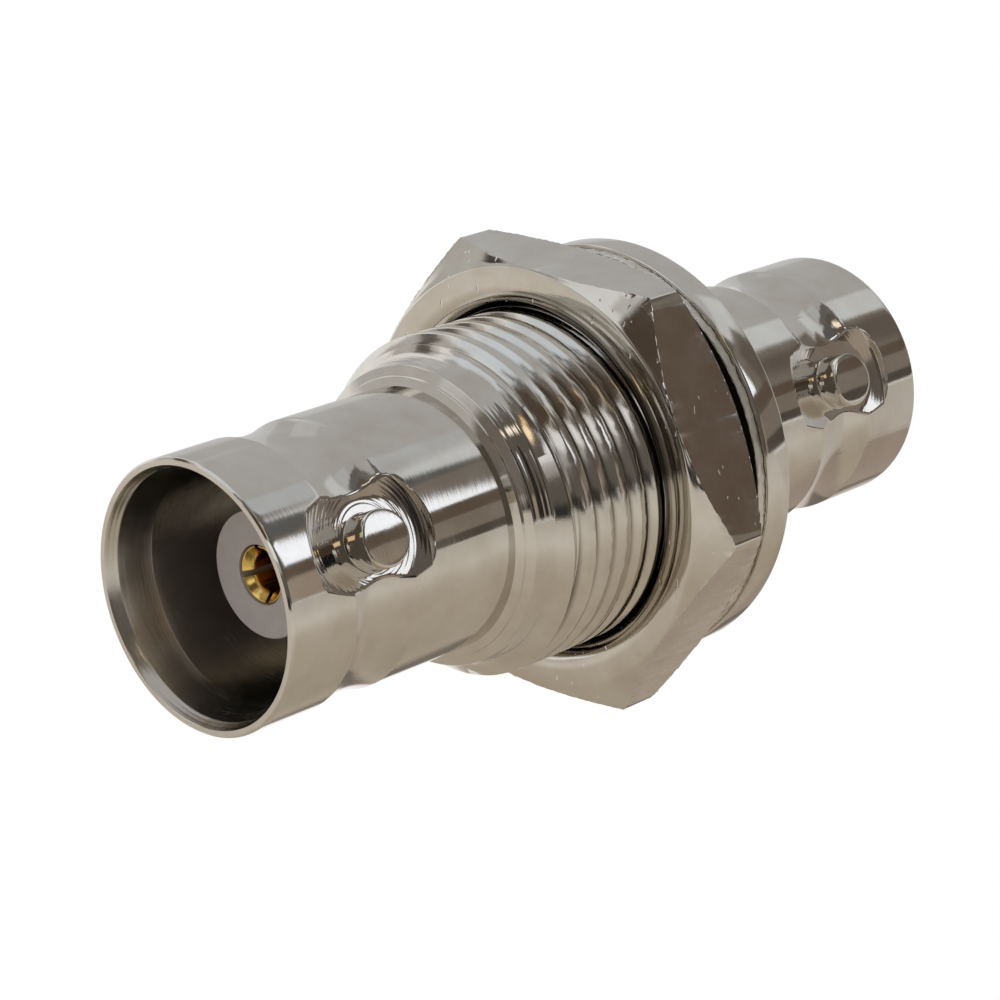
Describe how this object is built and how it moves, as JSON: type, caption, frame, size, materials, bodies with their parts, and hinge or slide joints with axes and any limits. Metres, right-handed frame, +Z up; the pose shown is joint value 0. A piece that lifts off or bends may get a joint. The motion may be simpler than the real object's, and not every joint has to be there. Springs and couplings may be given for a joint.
{
  "type": "coaxial bulkhead adapter",
  "caption": "Bulkhead feed-through adapter with a bayonet coaxial jack at each end, a flange, a threaded barrel, a hexagon panel nut and a toothed lock washer.",
  "frame": {"origin": "centre of the flange face that clamps the panel, on the connector axis", "axes": "+X along the connector axis from the threaded front jack towards the rear jack, +Z up, the front lug axis 23 degrees from the horizontal"},
  "size_m": [0.0334, 0.0184, 0.0164],
  "materials": {
    "nickel_plated_brass": "bright nickel plate on turned brass",
    "white_insulator": "turned fluoropolymer, waxy white",
    "gold_plated_contact": "gold plate on a turned socket"
  },
  "bodies": {
    "adapter": {"bulkhead_body": "nickel_plated_brass", "rear_jack": "nickel_plated_brass", "front_insulator": "white_insulator", "rear_insulator": "white_insulator", "center_contact": "gold_plated_contact"},
    "washer": {"lock_washer": "nickel_plated_brass"},
    "nut": {"panel_nut": "nickel_plated_brass"}
  },
  "joints": [
    {"name": "washer_slide", "type": "slide", "parent": "adapter", "child": "washer", "axis": [-1, 0, 0], "range_m": [0, 0.0032]},
    {"name": "nut_turn", "type": "hinge", "parent": "washer", "child": "nut", "pos_m": [-0.0026, 0, 0], "axis": [-1, 0, 0], "range_deg": [0, 1260]}
  ],
  "couplings": [
    {"joint": "washer_slide", "follows": "nut_turn", "m_per_rad": 0.00014437}
  ]
}
